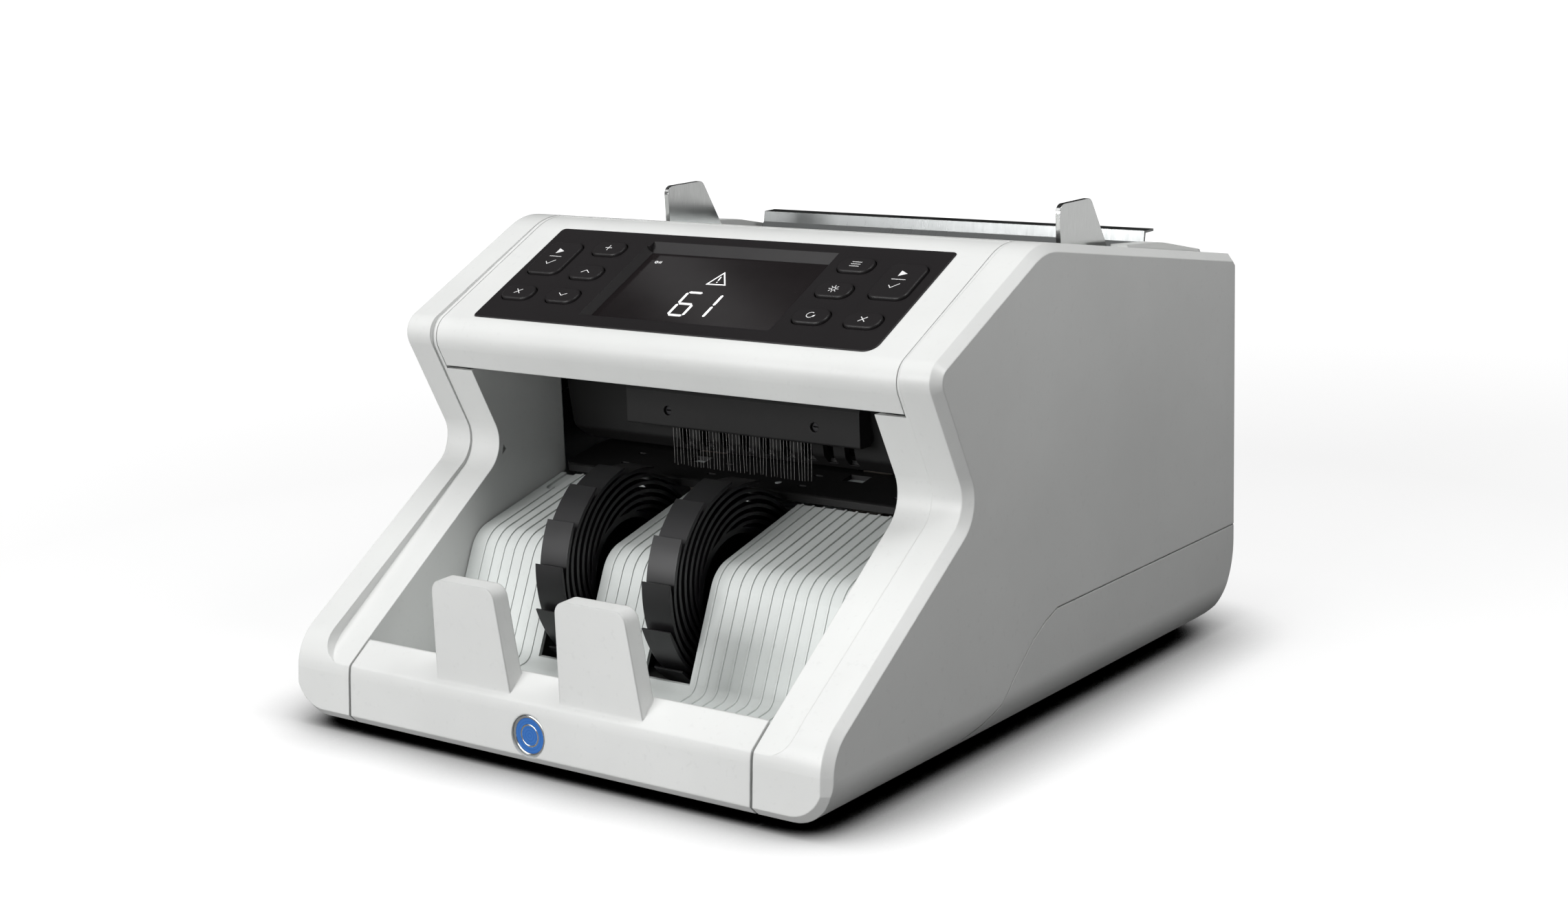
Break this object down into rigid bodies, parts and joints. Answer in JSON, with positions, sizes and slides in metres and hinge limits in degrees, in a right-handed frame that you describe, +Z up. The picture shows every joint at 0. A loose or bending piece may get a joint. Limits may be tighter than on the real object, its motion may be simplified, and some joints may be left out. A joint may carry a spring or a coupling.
{
  "type": "banknote counter",
  "caption": "Desktop note-counting machine: rear-fed hopper, roller feed, spiral stacker wheels, open front tray and a sloping key panel.",
  "frame": {"origin": "on the surface it stands on, under the centre of the machine's outline", "axes": "+X to the machine's right as seen from the operator's side, -Y towards the operator, +Z up"},
  "size_m": [0.25, 0.295, 0.184],
  "materials": {
    "shell_white": "satin off-white moulded ABS",
    "tray_white": "satin off-white moulded ABS",
    "base_white": "fine-textured off-white moulded ABS",
    "ramp_grey": "light grey ribbed plastic",
    "panel_black": "anthracite textured plastic",
    "key_black": "anthracite key caps with pale symbols",
    "window_black": "smoked glossy display window",
    "module_black": "display module",
    "guide_steel": "polished stainless sheet",
    "inner_black": "matte black plastic",
    "wheel_black": "glossy black flexible blades",
    "bristle_grey": "conductive fibre",
    "sensor_clear": "clear sensor window",
    "badge_blue": "blue glossy disc with a plain pale ring pattern",
    "rubber": "black rubber",
    "roller_rubber": "grey-brown feed rubber",
    "shaft_steel": "ground steel",
    "chassis_steel": "zinc-plated sheet",
    "bronze": "sintered bronze",
    "motor_metal": "dark painted steel can",
    "board_green": "green solder mask with components",
    "supply_metal": "folded sheet cover",
    "screw_black": "black oxide steel"
  },
  "bodies": {
    "housing": {"base_housing": "base_white", "left_side_panel": "shell_white", "right_side_panel": "shell_white", "rubber_feet": "rubber", "front_tray": "tray_white", "front_badge": "badge_blue", "stacker_ramp": "ramp_grey", "exit_plate": "inner_black", "sensor_windows": "sensor_clear", "back_cover": "inner_black", "brush_bar": "inner_black", "brush_screws": "screw_black", "brush_bristles": "bristle_grey", "upper_housing": "shell_white", "control_panel": "panel_black", "display_window": "window_black", "display_module": "module_black", "key_board": "board_green", "top_cover": "shell_white", "hopper_tray": "inner_black", "hopper_rear_plate": "guide_steel", "guide_rail": "shaft_steel", "lower_path_guide": "inner_black", "upper_path_guide": "inner_black", "retard_rollers": "roller_rubber", "retard_bracket": "inner_black", "left_chassis_plate": "chassis_steel", "right_chassis_plate": "chassis_steel", "shaft_bushings": "bronze", "drive_motor": "motor_metal", "drive_belts": "rubber", "main_board": "board_green", "power_supply": "supply_metal", "power_inlet": "module_black", "power_switch": "module_black"},
    "left_guide": {"left_note_guide": "guide_steel"},
    "right_guide": {"right_note_guide": "guide_steel"},
    "door": {"rear_door": "base_white"},
    "rocker": {"power_rocker": "key_black"},
    "stacker_rotor": {"stacker_shaft": "shaft_steel", "left_stacker_wheel": "wheel_black", "right_stacker_wheel": "wheel_black"},
    "transport_rotor": {"transport_shaft": "shaft_steel", "transport_rollers": "roller_rubber"},
    "pinch_rotor": {"pinch_rollers": "roller_rubber"},
    "feed_rotor": {"feed_shaft": "shaft_steel", "feed_rollers": "roller_rubber"},
    "motor_spindle": {"motor_rotor": "shaft_steel"},
    "key_start_left_body": {"key_start_left": "key_black"},
    "key_clear_left_body": {"key_clear_left": "key_black"},
    "key_add_body": {"key_add": "key_black"},
    "key_up_body": {"key_up": "key_black"},
    "key_down_body": {"key_down": "key_black"},
    "key_batch_body": {"key_batch": "key_black"},
    "key_lamp_body": {"key_lamp": "key_black"},
    "key_auto_body": {"key_auto": "key_black"},
    "key_start_right_body": {"key_start_right": "key_black"},
    "key_clear_right_body": {"key_clear_right": "key_black"}
  },
  "joints": [
    {"name": "transport_spin", "type": "hinge", "parent": "housing", "child": "transport_rotor", "pos_m": [0, 0.014, 0.0714], "axis": [1, 0, 0], "continuous": true},
    {"name": "stacker_spin", "type": "hinge", "parent": "housing", "child": "stacker_rotor", "pos_m": [0, -0.055, 0.049], "axis": [1, 0, 0], "continuous": true},
    {"name": "feed_spin", "type": "hinge", "parent": "housing", "child": "feed_rotor", "pos_m": [0, 0.066, 0.114], "axis": [1, 0, 0], "continuous": true},
    {"name": "pinch_spin", "type": "hinge", "parent": "housing", "child": "pinch_rotor", "pos_m": [0, 0.014, 0.0902], "axis": [1, 0, 0], "continuous": true},
    {"name": "motor_spin", "type": "hinge", "parent": "housing", "child": "motor_spindle", "pos_m": [0, 0.076, 0.04], "axis": [1, 0, 0], "continuous": true},
    {"name": "left_guide_slide", "type": "slide", "parent": "housing", "child": "left_guide", "axis": [1, 0, 0], "range_m": [0, 0.035]},
    {"name": "right_guide_slide", "type": "slide", "parent": "housing", "child": "right_guide", "axis": [-1, 0, 0], "range_m": [0, 0.035]},
    {"name": "rear_door_hinge", "type": "hinge", "parent": "housing", "child": "door", "pos_m": [0, 0.1454, 0.0584], "axis": [-1, 0, 0], "range_deg": [0, 80]},
    {"name": "power_rocker_tilt", "type": "hinge", "parent": "housing", "child": "rocker", "pos_m": [-0.084, 0.1446, 0.095], "axis": [1, 0, 0], "range_deg": [0, 9]},
    {"name": "key_start_left_press", "type": "slide", "parent": "housing", "child": "key_start_left_body", "axis": [0, 0.4408, -0.8976], "range_m": [0, 0.0008], "stiffness_N_per_m": 400, "springref_m": -0.0005},
    {"name": "key_clear_left_press", "type": "slide", "parent": "housing", "child": "key_clear_left_body", "axis": [0, 0.4408, -0.8976], "range_m": [0, 0.0008], "stiffness_N_per_m": 400, "springref_m": -0.0005},
    {"name": "key_add_press", "type": "slide", "parent": "housing", "child": "key_add_body", "axis": [0, 0.4408, -0.8976], "range_m": [0, 0.0008], "stiffness_N_per_m": 400, "springref_m": -0.0005},
    {"name": "key_up_press", "type": "slide", "parent": "housing", "child": "key_up_body", "axis": [0, 0.4408, -0.8976], "range_m": [0, 0.0008], "stiffness_N_per_m": 400, "springref_m": -0.0005},
    {"name": "key_down_press", "type": "slide", "parent": "housing", "child": "key_down_body", "axis": [0, 0.4408, -0.8976], "range_m": [0, 0.0008], "stiffness_N_per_m": 400, "springref_m": -0.0005},
    {"name": "key_batch_press", "type": "slide", "parent": "housing", "child": "key_batch_body", "axis": [0, 0.4408, -0.8976], "range_m": [0, 0.0008], "stiffness_N_per_m": 400, "springref_m": -0.0005},
    {"name": "key_lamp_press", "type": "slide", "parent": "housing", "child": "key_lamp_body", "axis": [0, 0.4408, -0.8976], "range_m": [0, 0.0008], "stiffness_N_per_m": 400, "springref_m": -0.0005},
    {"name": "key_auto_press", "type": "slide", "parent": "housing", "child": "key_auto_body", "axis": [0, 0.4408, -0.8976], "range_m": [0, 0.0008], "stiffness_N_per_m": 400, "springref_m": -0.0005},
    {"name": "key_start_right_press", "type": "slide", "parent": "housing", "child": "key_start_right_body", "axis": [0, 0.4408, -0.8976], "range_m": [0, 0.0008], "stiffness_N_per_m": 400, "springref_m": -0.0005},
    {"name": "key_clear_right_press", "type": "slide", "parent": "housing", "child": "key_clear_right_body", "axis": [0, 0.4408, -0.8976], "range_m": [0, 0.0008], "stiffness_N_per_m": 400, "springref_m": -0.0005}
  ],
  "couplings": [
    {"joint": "stacker_spin", "follows": "transport_spin", "ratio": 0.5},
    {"joint": "feed_spin", "follows": "transport_spin", "ratio": 1},
    {"joint": "motor_spin", "follows": "transport_spin", "ratio": 1.5},
    {"joint": "pinch_spin", "follows": "transport_spin", "ratio": -1.8461}
  ]
}
